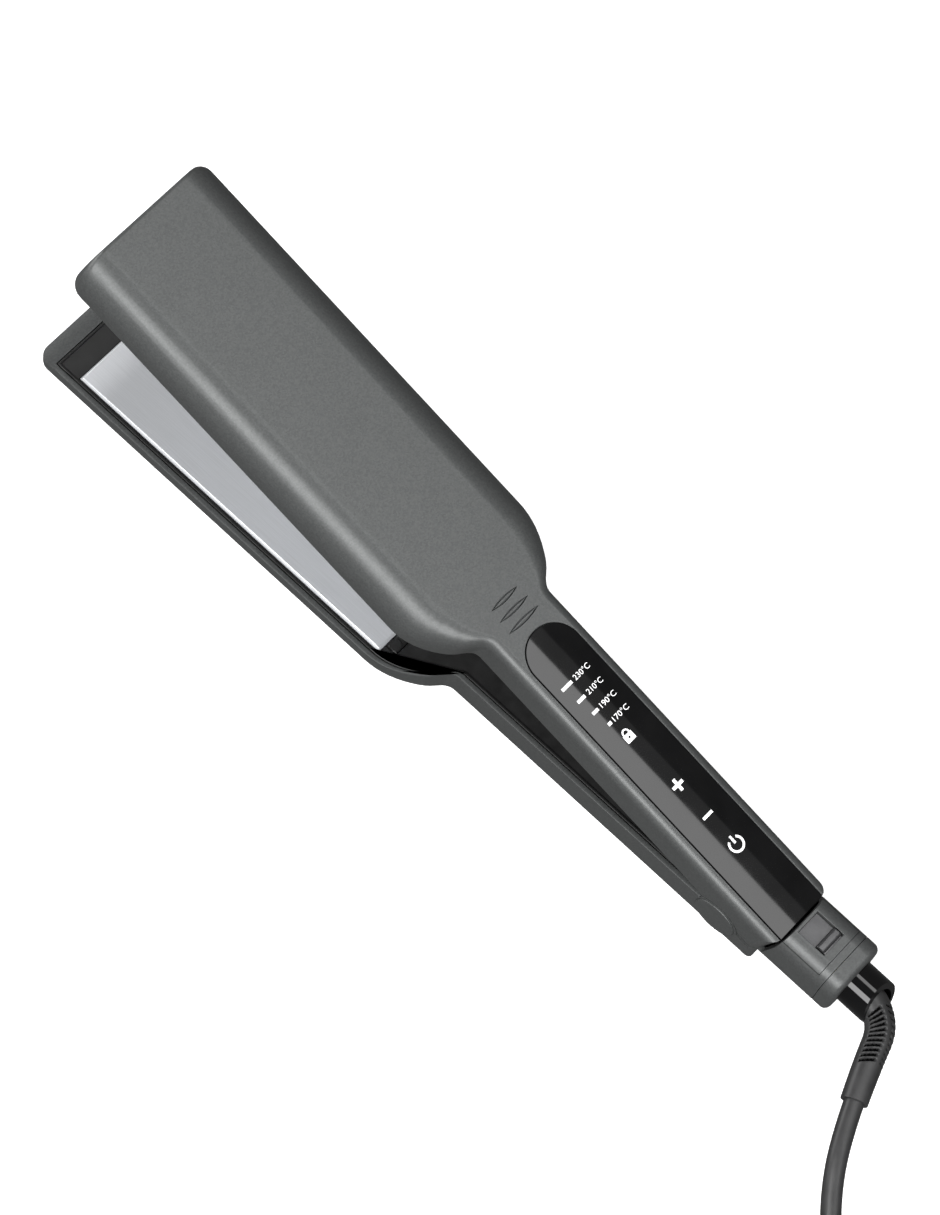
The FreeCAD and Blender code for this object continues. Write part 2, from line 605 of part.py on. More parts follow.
# Each part on the board: its two ends along the arm, its half width, and how far it stands off.
PARTS_ABOVE = {"relay": (44, 58, 6, 1.9), "driver_chip": (84, 90, 3, 1.2)}
PARTS_BELOW = {"supply_choke": (20, 30, 4.5, 3.6), "bridge": (38, 46, 4, 3.2),
               "wire_terminal": (88, 96, 5, 3.8)}
TOUCH_PLACES = (14.2, 25.6, 37.5)      # the power, minus and plus keys


def controls():
    slab = block("panel_slab", "rear_x + 0.05", "panel_front - panel_half", "-panel_half", "panel_half",
                 "half_height - panel_thick + 0.02", "half_height")
    nose = rod("panel_nose", "z", ("panel_front - panel_half", "0", "half_height - panel_thick + 0.02"),
               "panel_half", "panel_thick - 0.02")
    keep(fuse("control_panel", slab, nose), "control_panel", HIGH_ARM)
    board = block("board_slab", "board_rear", "board_front", "-board_half", "board_half", "board_low",
                  "board_high")
    keep(single("control_board", board), "control_board", HIGH_ARM)
    parts = [rod("capacitor", "x", ("capacitor_x", "0", "capacitor_z"), "capacitor_radius",
                 "capacitor_long")]
    for name, (rear, front, half, stand) in PARTS_ABOVE.items():
        parts.append(block(name, rear, front, -half, half, "board_high + board_gap",
                           f"board_high + {stand}"))
    for name, (rear, front, half, hang) in PARTS_BELOW.items():
        parts.append(block(name, rear, front, -half, half, f"board_low - {hang}",
                           "board_low - board_gap"))
    keep(fuse("component_group", *parts), "board_components", HIGH_ARM)
    guide = block("guide_block", "guide_rear", "guide_front", "guide_low", "guide_high",
                  "board_high + 0.05", "half_height - panel_thick - 0.03")
    keep(single("light_guide", guide), "light_guide", HIGH_ARM)
    pads = [rod(f"touch_pad{n}", "z", (x, "0", "board_high + board_gap"), "pad_radius",
                "half_height - wall - board_high - 0.1") for n, x in enumerate(TOUCH_PLACES)]
    keep(fuse("touch_pad_group", *pads), "touch_pads", HIGH_ARM)


# ---------------------------------------------------------------- slide lock

def slide_lock():
    base = block("track_base", "cover_rear - 1.2", "window_front + 0.4", "-window_half - 0.7",
                 "window_half + 0.7", "track_high - track_thick", "track_high")
    floor = block("track_floor", "window_rear + 0.1", "window_front - 0.1", "-window_half + 0.1",
                  "window_half - 0.1", "track_high - 0.1", "floor_high")
    slot = block("track_slot", "tongue_rear - 0.4", "thumb_front", "-track_slot_half",
                 "track_slot_half", "track_high - 2", "track_high + 1")
    keep(cut("lock_track", fuse("track_joined", base, floor), slot), "lock_track", HINGE)
    thumb_block = block("thumb_block", "thumb_rear", "thumb_front", "-thumb_half", "thumb_half",
                        "slide_high - 0.1", "thumb_high")
    top = size("thumb_high")
    thumb = rounded("thumb_soft", thumb_block, "thumb_round", Y_AXIS,
                    wanted=lambda middle: middle.z > top - 0.01)
    runner = block("slide_runner", "tongue_rear - 0.1", "thumb_front", "-thumb_half", "thumb_half",
                   "floor_high + 0.08", "slide_high")
    stem = block("slide_stem", "tongue_rear", "tongue_rear + 0.9", "-1", "1", "tongue_high - 0.1",
                 "slide_high")
    tongue = block("slide_tongue", "tongue_rear", "tongue_front", "-tongue_half", "tongue_half",
                   "tongue_low", "tongue_high")
    keep(fuse("lock_slider", thumb, runner, stem, tongue), "lock_slider", HINGE)


# ---------------------------------------------------------------- rear collar and swivel

def rear_collar():
    bar = tail_bar("collar_bar", "tail_end", "seam_x - seam_gap", "0")
    doc.recompute()
    soft = doc.addObject("Part::Fillet", "collar_soft")
    soft.Base = bar
    end = size("tail_end")
    rims = [number for number, edge in enumerate(bar.Shape.Edges, start=1)
            if abs(edge.BoundBox.XMin - end) < 1e-3 and abs(edge.BoundBox.XMax - end) < 1e-3]
    soft.Edges = [(number, size("tail_round"), size("tail_round")) for number in rims]
    hollow = tail_bar("collar_hollow", "tail_end + wall", "seam_x + 1", "wall")
    bore = rod("collar_bore", "x", ("tail_end - 1", "0", "0"), "sleeve_radius + fit_gap", "10")
    keep(cut("rear_collar", soft, hollow, bore), "rear_collar", HINGE)
    ring = rod("retainer_ring", "x", ("seam_x - 1.0", "0", "0"), "tail_half - wall - 0.05",
               "retainer_thick")
    hole = rod("retainer_hole", "x", ("seam_x - 3", "0", "0"), "retainer_bore", "6")
    keep(cut("swivel_retainer", ring, hole), "swivel_retainer", HINGE)


def sleeve_mouth(name):
    """Cuts the sleeve's domed end at a slant, so that it opens upwards and its lower lip is longest."""
    made = doc.addObject("Part::Box", name)
    for prop, text in (("Length", "mouth_deep"), ("Width", "2 * mouth_half"), ("Height", "2 * mouth_half")):
        bind(made, prop, text)
    tilt = Rotation(Vector(-1, 0, 0), Vector(-1, 0, size("mouth_up")))
    corner = Vector(-size("mouth_deep"), -size("mouth_half"), -size("mouth_half"))
    made.Placement = Placement(Vector(size("mouth_x"), 0, 0) + tilt.multVec(corner), tilt)
    return made


def swivel():
    tube = rod("sleeve_tube", "x", ("sleeve_end", "0", "0"), "sleeve_radius",
               "tail_end + wall - sleeve_end + 0.1 + flange_thick")
    doc.recompute()
    soft = doc.addObject("Part::Fillet", "sleeve_soft")
    soft.Base = tube
    end = size("sleeve_end")
    rims = [number for number, edge in enumerate(tube.Shape.Edges, start=1)
            if abs(edge.BoundBox.XMax - end) < 1e-3]
    soft.Edges = [(number, size("sleeve_round"), size("sleeve_round")) for number in rims]
    flange = rod("sleeve_flange", "x", ("tail_end + wall + 0.1", "0", "0"), "flange_radius",
                 "flange_thick")
    bore = rod("sleeve_bore", "x", ("sleeve_end - 1", "0", "0"), "relief_radius + 0.3",
               "relief_start - sleeve_end + 1.1")
    core = rod("sleeve_core", "x", ("relief_start - 1", "0", "0"), "cord_radius + 0.2", "12")
    joined = fuse("sleeve_joined", soft, flange)
    keep(cut("swivel_sleeve", joined, bore, core, sleeve_mouth("mouth")), "swivel_sleeve", HINGE)
    drum = rod("drum", "x", ("tail_end + wall + 0.15 + flange_thick", "0", "0"), "drum_radius",
               "drum_long")
    keep(single("swivel_drum", drum), "swivel_drum", HINGE)


# ---------------------------------------------------------------- cord

CORD_HEIGHT = -size("half_height") + size("cord_radius") + 0.1
# The relief leaves the sleeve about level, at the height of the iron's middle.
RELIEF_ROUTE = ((size("relief_start"), 0, 0), (-52.8, 0.9, 0), (-58.2, 16.8, -1.0), (-61.9, 25.8, -1.6))
# The stretch that sinks from the relief to the resting plane and runs on to the coil's first turn.
FREE_ROUTE = ((-61.9, 25.8, -1.6), (-66.5, 36.9, -2.4), (-74.0, 48.5, -5.8), (-83.5, 58.5, -9.3),
              (-94.0, 67.0, CORD_HEIGHT), (-106.3, 76.9, CORD_HEIGHT), (-121.8, 84.9, CORD_HEIGHT),
              (-136.5, 89.2, CORD_HEIGHT))
# The short stretch from the coil's top turn down to the plug beside it.
PLUG_ROUTE = ((-155.9, 5.5, 1.7), (-146.3, 2.9, 0.4), (-136.6, 0.4, -2.6), (-127.0, -2.2, -4.5))


BEND_SHARE = 0.45      # of the shorter run beside a corner that its bend takes


def route_path(points):
    """Straight runs joined by tangent arcs, each as large as its two runs allow."""
    points = [Vector(*point) for point in points]
    edges, radii = [], []
    last = points[0]
    for before, corner, after in zip(points, points[1:], points[2:]):
        run_in, run_out = corner - before, after - corner
        half_turn = run_in.getAngle(run_out) / 2
        length = BEND_SHARE * min(run_in.Length, run_out.Length)
        radii.append(length / math.tan(half_turn))
        start = corner - run_in.normalize() * length
        end = corner + run_out.normalize() * length
        inward = (end - corner).normalize() + (start - corner).normalize()
        middle = corner + inward.normalize() * (radii[-1] / math.cos(half_turn) - radii[-1])
        edges.append(Part.LineSegment(last, start).toShape())
        edges.append(Part.Arc(start, middle, end).toShape())
        last = end
    edges.append(Part.LineSegment(last, points[-1]).toShape())
    return Part.Wire(edges), radii


def ring_at(wire, at_end, radius):
    edge = wire.Edges[-1] if at_end else wire.Edges[0]
    place = edge.valueAt(edge.LastParameter if at_end else edge.FirstParameter)
    along = edge.tangentAt(edge.LastParameter if at_end else edge.FirstParameter)
    return Part.Wire([Part.Edge(Part.Circle(place, along, radius))])


def tube(label, points, first_radius, last_radius):
    """A solid round tube along a route; its radius may change evenly from end to end."""
    first, last = size(first_radius), size(last_radius)
    wire, radii = route_path(points)
    rings = [ring_at(wire, False, first)]
    if first != last:
        rings.append(ring_at(wire, True, last))
    solid = wire.makePipeShell(rings, True, True)
    mean = math.pi * (first ** 2 + first * last + last ** 2) / 3
    print(label, "radii", [round(radius, 1) for radius in radii], "length", round(wire.Length, 1),
          "volume / section x length", round(solid.Volume / (mean * wire.Length), 4))
    made = doc.addObject("Part::Feature", label)
    made.Shape = solid
    keep(made, label, HINGE)


def cord():
    tube("strain_relief", RELIEF_ROUTE, "relief_radius", "relief_tip")
    tube("cord", FREE_ROUTE, "cord_radius", "cord_radius")
    outer = rod("coil_outer", "z", ("coil_x", "coil_y", "-half_height + 0.05"), "coil_out", "coil_high")
    inner = rod("coil_inner", "z", ("coil_x", "coil_y", "-half_height - 1"), "coil_in", "coil_high + 3")
    keep(cut("cord_coil", outer, inner), "cord_coil", HINGE)
    tube("cord_tail", PLUG_ROUTE, "cord_radius", "cord_radius")


def plug():
    """Drawn along X from the cord's end, then turned to lie in line with the cord."""
    middle = Vector(size("plug_x"), size("plug_y"), size("plug_high - half_height"))
    place = HINGE.multiply(Placement(middle, Rotation(Z_AXIS, size("plug_deg"))))
    face = "plug_neck + plug_long"
    bar = block("plug_bar", "plug_neck", face, "-plug_half", "plug_half", "-plug_high", "plug_high")
    soft = rounded("plug_soft", bar, "plug_edge", X_AXIS)
    neck = doc.addObject("Part::Cone", "plug_cone")
    for prop, text in (("Radius1", "neck_small"), ("Radius2", "neck_large"),
                       ("Height", "plug_neck + 0.5")):
        bind(neck, prop, text)
    neck.Placement = Placement(Vector(), Rotation(Y_AXIS, 90))
    keep(fuse("plug_body", soft, neck), "plug_body", place)
    blades = []
    for side in (1, -1):
        blades.append(block(f"blade{side}", face, f"{face} + blade_long",
                            f"({side} * blade_pitch - blade_thick) / 2",
                            f"({side} * blade_pitch + blade_thick) / 2", "-blade_wide / 2",
                            "blade_wide / 2"))
    keep(fuse("plug_blades", *blades), "plug_blades", place)


# ---------------------------------------------------------------- the whole iron

upper_casing()
lower_casing()
tail_cover()
hinge()
opening_spring()
for arm, place in (("upper", HIGH_ARM), ("lower", LOW_ARM)):
    liner(arm, place, spring=arm == "lower")
    plate(arm, place)
    end_bar(arm, place)
    plate_holder(arm, place, with_fuse=arm == "lower")
    heater_stack(arm, place)
    screws(arm, place)
thermal_fuse()
leads("upper", HIGH_ARM, "high_lead")
leads("lower", LOW_ARM, "low_lead")
controls()
slide_lock()
rear_collar()
swivel()
cord()
plug()

doc.recompute()
failed = [thing.Name for thing in doc.Objects if {"Invalid", "Error"} & set(thing.State)]
bad = [thing.Label for thing in kept if thing.Shape.isNull() or not thing.Shape.isValid()]
if failed or bad:
    raise SystemExit(f"failed objects: {failed}; shapes that are null or not valid: {bad}")
os.makedirs("parts", exist_ok=True)
for thing in kept:
    thing.Shape.exportStep(f"parts/{thing.Label}.step")
    print(f"{thing.Label}: {thing.Shape.Volume / 1000:.2f} cm3, {len(thing.Shape.Solids)} solids")
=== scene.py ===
"""The looks of the flat iron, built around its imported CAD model.

Lengths are in metres. Places on the iron are given in millimetres in the arm frame: its origin
lies 39 mm in front of the cord's swivel, X runs to the tip, Y across and Z away from the table.
"""
import json
import math

import bmesh
import bpy
from mathutils import Matrix, Vector


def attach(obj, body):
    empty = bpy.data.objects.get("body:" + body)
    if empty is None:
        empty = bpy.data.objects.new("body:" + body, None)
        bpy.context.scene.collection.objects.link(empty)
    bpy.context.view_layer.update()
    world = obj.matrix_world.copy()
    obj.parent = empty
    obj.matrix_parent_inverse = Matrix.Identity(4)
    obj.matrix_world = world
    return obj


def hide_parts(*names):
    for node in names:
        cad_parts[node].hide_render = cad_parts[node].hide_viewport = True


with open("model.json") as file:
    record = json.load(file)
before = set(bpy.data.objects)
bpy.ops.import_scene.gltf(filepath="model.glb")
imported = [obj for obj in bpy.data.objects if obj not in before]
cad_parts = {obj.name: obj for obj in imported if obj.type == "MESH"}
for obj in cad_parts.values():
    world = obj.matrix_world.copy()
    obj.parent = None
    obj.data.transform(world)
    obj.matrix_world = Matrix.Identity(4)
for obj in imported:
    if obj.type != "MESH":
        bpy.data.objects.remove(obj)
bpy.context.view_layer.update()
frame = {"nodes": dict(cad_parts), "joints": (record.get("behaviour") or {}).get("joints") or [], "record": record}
nodes = frame["nodes"]
scene = bpy.context.scene

MM = 0.001
FULL = 2 * math.pi
QUARTER = math.pi / 2


# ---------------------------------------------------------------- places

joints = {joint["name"]: joint for joint in frame["joints"]}
PIVOT = Vector(joints["arm_hinge"]["pos_m"])
OPENING = math.radians(joints["arm_hinge"]["range_deg"][1])
SWIVEL_X = -39.0                      # where the cord's swivel sits in the arm frame
MIDDLE = Vector(joints["cord_swivel"]["pos_m"]) - Vector((SWIVEL_X * MM, 0, 0))
HALF_HEIGHT = MIDDLE.z / MM           # from the arms' meeting plane to either arm's back

LOW = Matrix.Translation(MIDDLE) @ Matrix.Scale(MM, 4)
HIGH = (Matrix.Translation(PIVOT) @ Matrix.Rotation(-OPENING, 4, "Y")
        @ Matrix.Translation(MIDDLE - PIVOT) @ Matrix.Scale(MM, 4))


def at(x, y, z):
    """A point given in the arm frame, for what doesn't open with the upper arm."""
    return LOW @ Vector((x, y, z))


# ---------------------------------------------------------------- camera

LEAN_SIDE = math.radians(20.36)       # the camera leans towards +Y
LEAN_BACK = math.radians(-8.59)       # and a little towards the cord's end
ROLL = math.radians(47.76)
DISTANCE = 1.263
LENS = 131.66
SENSOR = 36.0
AIM = (110, 0, 0)
SLIDE_RIGHT, SLIDE_DOWN = 2.08 * MM, -5.06 * MM

VIEW = Vector((math.sin(LEAN_BACK), math.sin(LEAN_SIDE) * math.cos(LEAN_BACK),
               math.cos(LEAN_SIDE) * math.cos(LEAN_BACK)))


def make_camera():
    tip_up = (Vector((1, 0, 0)) - VIEW * VIEW.x).normalized()
    side = tip_up.cross(VIEW)
    right = side * math.cos(ROLL) - tip_up * math.sin(ROLL)
    down = -(side * math.sin(ROLL) + tip_up * math.cos(ROLL))
    place = at(*AIM) + VIEW * DISTANCE + right * SLIDE_RIGHT + down * SLIDE_DOWN
    data = bpy.data.cameras.new("camera")
    data.lens = LENS
    data.sensor_width = SENSOR
    data.sensor_height = SENSOR
    data.clip_end = 20
    camera = bpy.data.objects.new("camera", data)
    camera.matrix_world = Matrix.Translation(place) @ Matrix((right, -down, VIEW)).transposed().to_4x4()
    scene.collection.objects.link(camera)
    scene.camera = camera
    return camera


camera = make_camera()


# ---------------------------------------------------------------- materials

def new_material(name, color, roughness, metallic=0.0, **sockets):
    """A material whose even values sit on the shader's own sockets."""
    material = bpy.data.materials.new(name)
    material.use_nodes = True
    shader = material.node_tree.nodes["Principled BSDF"]
    shader.inputs["Base Color"].default_value = (*color, 1)
    shader.inputs["Roughness"].default_value = roughness
    shader.inputs["Metallic"].default_value = metallic
    for socket, value in sockets.items():
        shader.inputs[socket.replace("_", " ")].default_value = value
    return material


def add_node(material, kind, **inputs):
    made = material.node_tree.nodes.new(kind)
    for socket, value in inputs.items():
        made.inputs[socket.replace("_", " ")].default_value = value
    return made


def link(material, source, output, target, socket):
    material.node_tree.links.new(source.outputs[output], target.inputs[socket])


def placed(material, stretch=(1, 1, 1)):
    """The piece's own coordinates in metres, squeezed along an axis for drawn or brushed marks."""
    coordinates = add_node(material, "ShaderNodeTexCoord")
    mapping = add_node(material, "ShaderNodeMapping", Scale=stretch)
    link(material, coordinates, "Object", mapping, "Vector")
    return mapping


def noise(material, size, detail=3.0, stretch=(1, 1, 1)):
    """Noise with grains of about this many millimetres."""
    made = add_node(material, "ShaderNodeTexNoise", Scale=1 / (size * MM), Detail=detail)
    link(material, placed(material, stretch), "Vector", made, "Vector")
    return made


def vary_color(material, source, output, dark, light, low=0.3, high=0.7):
    ramp = add_node(material, "ShaderNodeValToRGB")
    ramp.color_ramp.elements[0].color = (*dark, 1)
    ramp.color_ramp.elements[1].color = (*light, 1)
    ramp.color_ramp.elements[0].position = low
    ramp.color_ramp.elements[1].position = high
    link(material, source, output, ramp, "Fac")
    link(material, ramp, "Color", material.node_tree.nodes["Principled BSDF"], "Base Color")


def vary_roughness(material, source, low, high):
    spread = add_node(material, "ShaderNodeMapRange", To_Min=low, To_Max=high)
    link(material, source, "Fac", spread, "Value")
    link(material, spread, "Result", material.node_tree.nodes["Principled BSDF"], "Roughness")


def raise_bumps(material, source, output, height, strength=1.0):
    """Bumps this many millimetres high."""
    bump = add_node(material, "ShaderNodeBump", Distance=height * MM, Strength=strength)
    link(material, source, output, bump, "Height")
    link(material, bump, "Normal", material.node_tree.nodes["Principled BSDF"], "Normal")


def graphite():
    """Satin lacquer over plastic, with fine metal flakes in it."""
    material = new_material("graphite_lacquer", (0.1, 0.1, 0.1), 0.42, metallic=0.35, Coat_Weight=0.12,
                            Coat_Roughness=0.3)
    flakes = add_node(material, "ShaderNodeTexVoronoi", Scale=1 / (0.42 * MM))
    link(material, placed(material), "Vector", flakes, "Vector")
    vary_color(material, flakes, "Color", (0.070, 0.073, 0.073), (0.092, 0.096, 0.095), 0.1, 0.9)
    vary_roughness(material, noise(material, 9.0), 0.38, 0.46)
    raise_bumps(material, noise(material, 0.35, 2.0), "Fac", 0.012, 0.6)
    return material


def moulded(name, color, roughness, grain=0.5, height=0.012, spread=0.06, **sockets):
    """Moulded plastic or rubber with a fine eroded grain and slightly uneven gloss."""
    material = new_material(name, color, roughness, **sockets)
    lighter = tuple(min(1.0, part * 1.35 + 0.002) for part in color)
    vary_color(material, noise(material, 6.0), "Fac", color, lighter)
    vary_roughness(material, noise(material, 3.0), roughness - spread, roughness + spread)
    raise_bumps(material, noise(material, grain), "Fac", height, 0.7)
    return material


def gloss():
    """Polished black plastic: a very slight waviness and handling haze."""
    material = new_material("gloss_black", (0.003, 0.003, 0.0032), 0.015, IOR=1.5)
    vary_color(material, noise(material, 8.0), "Fac", (0.002, 0.002, 0.0022), (0.004, 0.004, 0.0042))
    vary_roughness(material, noise(material, 5.0), 0.008, 0.022)
    raise_bumps(material, noise(material, 14.0, 0.5), "Fac", 0.004, 0.3)
    return material


def plate_coating():
    """Ceramic coating over aluminium, with faint lapping lines along the plate."""
    material = new_material("ceramic_plate", (0.64, 0.655, 0.675), 0.3, metallic=0.5)
    lines = noise(material, 0.25, 3.0, stretch=(0.02, 1, 1))
    vary_color(material, lines, "Fac", (0.61, 0.625, 0.645), (0.67, 0.685, 0.71))
    vary_roughness(material, noise(material, 4.0), 0.27, 0.33)
    raise_bumps(material, lines, "Fac", 0.002, 0.3)
    return material


def brushed(name, color, roughness, metallic=1.0):
    """Rolled or drawn metal with lines along X."""
    material = new_material(name, color, roughness, metallic=metallic)
    lines = noise(material, 0.3, 4.0, stretch=(0.05, 1, 1))
    vary_color(material, lines, "Fac", tuple(0.8 * part for part in color), color)
    vary_roughness(material, lines, roughness - 0.06, roughness + 0.08)
    raise_bumps(material, lines, "Fac", 0.004, 0.5)
    return material


def board_lacquer():
    material = new_material("board", (0.01, 0.09, 0.035), 0.35, Coat_Weight=0.4)
    tracks = add_node(material, "ShaderNodeTexBrick", Scale=350.0, Mortar_Size=0.03)
    tracks.inputs["Color1"].default_value = (0.01, 0.1, 0.04, 1)
    tracks.inputs["Color2"].default_value = (0.008, 0.08, 0.03, 1)
    tracks.inputs["Mortar"].default_value = (0.03, 0.2, 0.09, 1)
    link(material, placed(material), "Vector", tracks, "Vector")
    link(material, tracks, "Color", material.node_tree.nodes["Principled BSDF"], "Base Color")
    raise_bumps(material, tracks, "Fac", 0.02, 0.6)
    return material


def print_ink():
    """The white printing on the touch panel, with a faint painted glow that brightens it."""
    material = new_material("white_print", (0.9, 0.9, 0.9), 0.5, Emission_Color=(1, 1, 1, 1),
                            Emission_Strength=0.25)
    vary_color(material, noise(material, 0.3), "Fac", (0.86, 0.87, 0.88), (0.94, 0.94, 0.94))
    raise_bumps(material, noise(material, 0.2), "Fac", 0.004, 0.4)
    return material


FINISHES = {
    "graphite": graphite(),
    "black_plastic": moulded("black_plastic", (0.010, 0.010, 0.010), 0.38),
    "gloss_black": gloss(),
    "ceramic_plate": plate_coating(),
    "heat_plastic": moulded("heat_plastic", (0.02, 0.02, 0.021), 0.5, grain=0.8),
    "ceramic_heater": moulded("ceramic_heater", (0.75, 0.73, 0.68), 0.6, grain=0.3),
    "mica": moulded("mica", (0.5, 0.42, 0.3), 0.3, grain=1.5, Coat_Weight=0.3),
    "steel": brushed("steel", (0.55, 0.55, 0.56), 0.3),
    "spring_steel": brushed("spring_steel", (0.35, 0.35, 0.37), 0.25),
    "board": board_lacquer(),
    "components": moulded("components", (0.03, 0.03, 0.032), 0.4, grain=0.4),
    "clear": moulded("clear", (0.8, 0.82, 0.84), 0.12, grain=2.0, height=0.004, spread=0.04,
                     Transmission_Weight=0.7),
    "wire": moulded("wire", (0.012, 0.012, 0.013), 0.4, grain=0.6),
    "rubber": moulded("rubber", (0.024, 0.024, 0.0245), 0.42, grain=0.45, height=0.02),
    "brass": brushed("brass", (0.75, 0.6, 0.3), 0.28),
}
INK = print_ink()

slot_of = {part["node"]: part["material_slot"] for part in frame["record"]["subparts"]}


def dress(piece, slot, body):
    """Gives a new piece its finish and the body that it rides on."""
    piece.data.materials.clear()
    piece.data.materials.append(FINISHES[slot])
    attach(piece, body)


for name, node in nodes.items():
    for place in node.material_slots:
        place.material = FINISHES[slot_of[name]]


# ---------------------------------------------------------------- cord

CORD_RADIUS = 3.0
FLOOR_HEIGHT = -HALF_HEIGHT + CORD_RADIUS + 0.1      # the cord's middle where it lies on the table
RELIEF_ROUTE = ((-42.0, 0, 0), (-52.8, 0.9, 0), (-58.2, 16.8, -1.0), (-61.9, 25.8, -1.6))
# It leaves its guard about level, then sinks to the table and runs on to the coil.
FREE_ROUTE = ((-61.9, 25.8, -1.6), (-66.5, 36.9, -2.4), (-74.0, 48.5, -5.8), (-83.5, 58.5, -9.3),
              (-94.0, 67.0, FLOOR_HEIGHT), (-106.3, 76.9, FLOOR_HEIGHT), (-121.8, 84.9, FLOOR_HEIGHT),
              (-136.5, 89.2, FLOOR_HEIGHT))
PLUG_ROUTE = ((-155.9, 5.5, 1.7), (-146.3, 2.9, 0.4), (-136.6, 0.4, -2.6), (-127.0, -2.2, -4.5))
COIL_MIDDLE = (-157.6, 49.7)
COIL_START = math.radians(80)
COIL_END = math.radians(255)
COIL_SPACING = 6.05                                  # from one turn's middle to the next one's
OUTER_RING = 42.25
RING_OF_TURN = (0, 1, 2, 3, 3, 2, 1, 0, 0, 0)        # inwards, then outwards on top, then a last turn
CLIMBS = (3.35, 7.35)                                # after so many turns the cord climbs a layer
JOG = 0.35                                           # the part of a turn that such a change takes
COIL_TURNS = 8 + (COIL_END - COIL_START) / FULL
STEPS_A_TURN = 24


def ease(share):
    share = max(0.0, min(1.0, share))
    return share * share * (3 - 2 * share)


def coil_point(turn):
    """Where the wound cord is after so many turns."""
    whole = int(turn)
    ring, following = RING_OF_TURN[whole], RING_OF_TURN[whole + 1]
    moved = ring + (following - ring) * ease((turn - whole - 1 + JOG) / JOG)
    layer = sum(ease((turn - climb) / JOG) for climb in CLIMBS)
    radius = OUTER_RING - COIL_SPACING * moved
    angle = COIL_START + FULL * turn
    return (COIL_MIDDLE[0] + radius * math.cos(angle), COIL_MIDDLE[1] + radius * math.sin(angle),
            FLOOR_HEIGHT + COIL_SPACING * layer)


def route_curve(name, points):
    """One smooth open curve through a route's corners."""
    data = bpy.data.curves.new(name, "CURVE")
    data.dimensions = "3D"
    data.resolution_u = 8
    spline = data.splines.new("NURBS")
    spline.points.add(len(points) - 1)
    for control, point in zip(spline.points, points):
        control.co = (*at(*point), 1)
    spline.order_u = 3
    spline.use_endpoint_u = True
    curve = bpy.data.objects.new(name, data)
    scene.collection.objects.link(curve)
    return curve


def line_of(points, name="line"):
    """The points along the smooth curve of a route, from end to end."""
    curve = route_curve(name, points)
    mesh = bpy.data.meshes.new_from_object(curve)
    line = [vertex.co.copy() for vertex in mesh.vertices]
    bpy.data.meshes.remove(mesh)
    bpy.data.curves.remove(curve.data)
    return line


def length_of(line):
    return sum((after - before).length for before, after in zip(line, line[1:]))


def make_cord():
    steps = round(COIL_TURNS * STEPS_A_TURN)
    wound = [coil_point(COIL_TURNS * step / steps) for step in range(steps + 1)]
    points = [*FREE_ROUTE, *wound, *PLUG_ROUTE]
    cord = route_curve("mains_cord", points)
    cord.data.bevel_depth = CORD_RADIUS * MM
    cord.data.bevel_resolution = 6
    cord.data.use_fill_caps = True
    dress(cord, "rubber", "swivel")
    return cord, length_of(line_of(points))


RELIEF_FIRST, RELIEF_LAST = 4.6, 4.0      # its radius at the sleeve and at the free end
SLOTS = 11                                # in each of its four columns
SLOT_DEPTH = 0.9
SLOT_SHARE = 0.62                         # of the pitch, from one slot's lip to its other lip
SLOT_STEEP = 3.5                          # how steeply its long sides fall
SLOT_END = 5                              # the degrees over which its ends fall
SLOT_LEAN = 1.0                           # how many slots further along for each radian from the spine
FIRST_SLOT, LAST_SLOT = 0.19, 0.66        # shares of its length
STATIONS = 280
AROUND = 96
COLUMNS = ((10, 80), (120, 170))          # in degrees to either side of the spine
SPINE = Vector((-0.495, -0.036, 0.868))   # the plain spine that shows faces this way


def even_line(line, count):
    """The same line with evenly spaced points, and the heading at each."""
    lengths = [0.0]
    for before, after in zip(line, line[1:]):
        lengths.append(lengths[-1] + (after - before).length)
    places, index = [], 0
    for step in range(count):
        along = lengths[-1] * step / (count - 1)
        while index < len(line) - 2 and lengths[index + 1] < along:
            index += 1
        share = (along - lengths[index]) / (lengths[index + 1] - lengths[index])
        places.append(line[index].lerp(line[index + 1], share))
    headings = []
    for step in range(count):
        before, after = places[max(step - 1, 0)], places[min(step + 1, count - 1)]
        headings.append((after - before).normalized())
    return places, headings


def slot_depth(share, turn):
    """How deep the guard is cut, 0 to 1, at a share of its length and an angle from the spine."""
    spread = abs(math.degrees(turn))
    inside = max(min(spread - low, high - spread) for low, high in COLUMNS)
    along = (share - FIRST_SLOT) / (LAST_SLOT - FIRST_SLOT) * SLOTS - SLOT_LEAN * abs(turn)
    if inside <= 0 or not 0 < along < SLOTS:
        return 0.0
    cut = SLOT_STEEP * (SLOT_SHARE - abs(2 * (along % 1) - 1))
    return max(0.0, min(1.0, cut)) * min(1.0, inside / SLOT_END)


